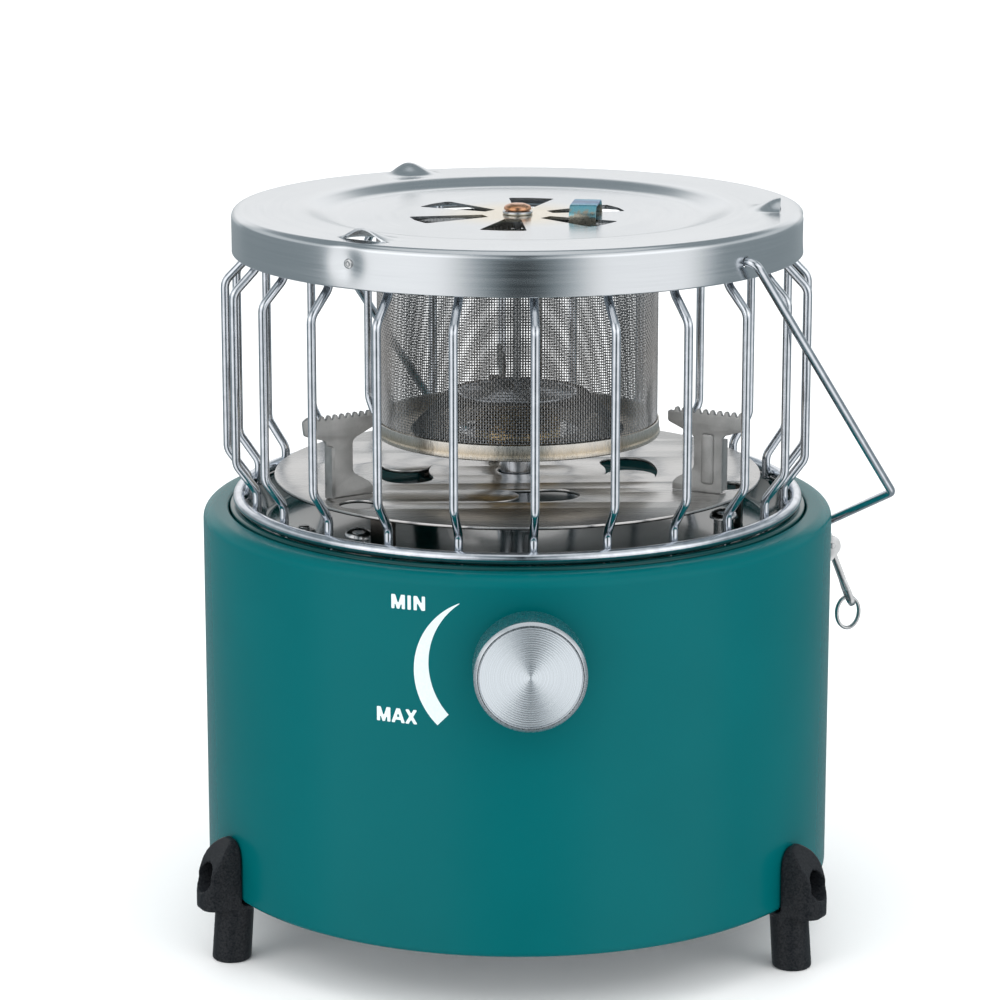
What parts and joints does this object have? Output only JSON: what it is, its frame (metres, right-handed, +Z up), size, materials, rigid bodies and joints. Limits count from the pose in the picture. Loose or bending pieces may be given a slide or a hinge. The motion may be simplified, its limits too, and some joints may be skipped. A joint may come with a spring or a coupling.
{
  "type": "portable camping heater",
  "caption": "Drum-shaped portable heater on three feet with a lift-off wire guard, mesh emitter, cap, carrying bail, control knob and stove burner with pot supports.",
  "frame": {"origin": "on the floor under the centre of the box around the whole object at rest", "axes": "+Z up, -Y out of the control knob, +X to the right as the knob is faced"},
  "size_m": [0.2442, 0.2593, 0.2589],
  "materials": {
    "enamel": "satin",
    "pan_enamel": "gloss",
    "plated_steel": "bright zinc plate",
    "foot_plastic": "fine moulded grain",
    "stainless": "brushed",
    "blasted_steel": "bead blasted",
    "mesh_steel": "woven wire cloth",
    "brass": "machined",
    "copper": "drawn, heat tinted",
    "ceramic": "glazed",
    "knob_aluminium": "turned",
    "heat_blued_steel": "heat blued",
    "bright_wire": "bright plated wire"
  },
  "bodies": {
    "base": {"drum_shell": "enamel", "drum_pan": "pan_enamel", "base_plate": "plated_steel", "foot_left": "foot_plastic", "foot_right": "foot_plastic", "foot_rear": "foot_plastic", "heat_disc": "stainless", "pot_support_1": "blasted_steel", "pot_support_2": "blasted_steel", "pot_support_3": "blasted_steel", "burner_stem": "plated_steel", "burner_head": "brass", "spark_electrode": "ceramic", "valve_body": "brass", "inlet_fitting": "brass", "supply_pipe": "copper", "burner_pipe": "copper", "knob_bezel": "foot_plastic", "catch_bracket": "plated_steel"},
    "guard": {"guard_cap": "stainless", "cap_rivet": "copper", "rivet_washer": "plated_steel", "heat_clip": "heat_blued_steel", "skirt_screw_1": "plated_steel", "skirt_screw_2": "plated_steel", "skirt_screw_3": "plated_steel", "emitter_mesh": "mesh_steel", "emitter_dish": "stainless", "emitter_cone": "mesh_steel", "guard_top_ring": "bright_wire", "guard_bottom_ring": "bright_wire", "guard_wire_01": "bright_wire", "guard_wire_02": "bright_wire", "guard_wire_03": "bright_wire", "guard_wire_04": "bright_wire", "guard_wire_05": "bright_wire", "guard_wire_06": "bright_wire", "guard_wire_07": "bright_wire", "guard_wire_08": "bright_wire", "guard_wire_09": "bright_wire", "guard_wire_10": "bright_wire", "guard_wire_11": "bright_wire", "guard_wire_12": "bright_wire", "guard_wire_13": "bright_wire", "guard_wire_14": "bright_wire", "guard_wire_15": "bright_wire", "guard_wire_16": "bright_wire", "guard_wire_17": "bright_wire", "guard_wire_18": "bright_wire", "guard_wire_19": "bright_wire", "guard_wire_20": "bright_wire", "guard_wire_21": "bright_wire", "guard_wire_22": "bright_wire", "guard_wire_23": "bright_wire", "guard_wire_24": "bright_wire"},
    "bail": {"bail": "bright_wire"},
    "spindle": {"valve_spindle": "brass"},
    "knob": {"knob": "knob_aluminium"},
    "catch": {"catch_lever": "plated_steel"},
    "ring": {"pull_ring": "plated_steel"}
  },
  "joints": [
    {"name": "guard_lift", "type": "slide", "parent": "base", "child": "guard", "axis": [0, 0, 1], "range_m": [0, 0.12]},
    {"name": "bail_swing", "type": "hinge", "parent": "guard", "child": "bail", "pos_m": [-0.01, -0.0007, 0.2461], "axis": [0.7373, -0.6756, 0], "range_deg": [0, 255]},
    {"name": "valve_turn", "type": "hinge", "parent": "base", "child": "spindle", "pos_m": [-0.01, -0.1, 0.1227], "axis": [0, -1, 0], "range_deg": [0, 135]},
    {"name": "knob_push", "type": "slide", "parent": "spindle", "child": "knob", "axis": [0, 1, 0], "range_m": [0, 0.0025], "stiffness_N_per_m": 900, "springref_m": -0.002},
    {"name": "catch_swing", "type": "hinge", "parent": "base", "child": "catch", "pos_m": [0.10234, 0.0181, 0.13], "axis": [0.165, -0.9863, 0], "range_deg": [0, 60]},
    {"name": "ring_swing", "type": "hinge", "parent": "catch", "child": "ring", "pos_m": [0.11022, 0.01942, 0.10961], "axis": [0.165, -0.9863, 0], "range_deg": [0, 45]}
  ]
}
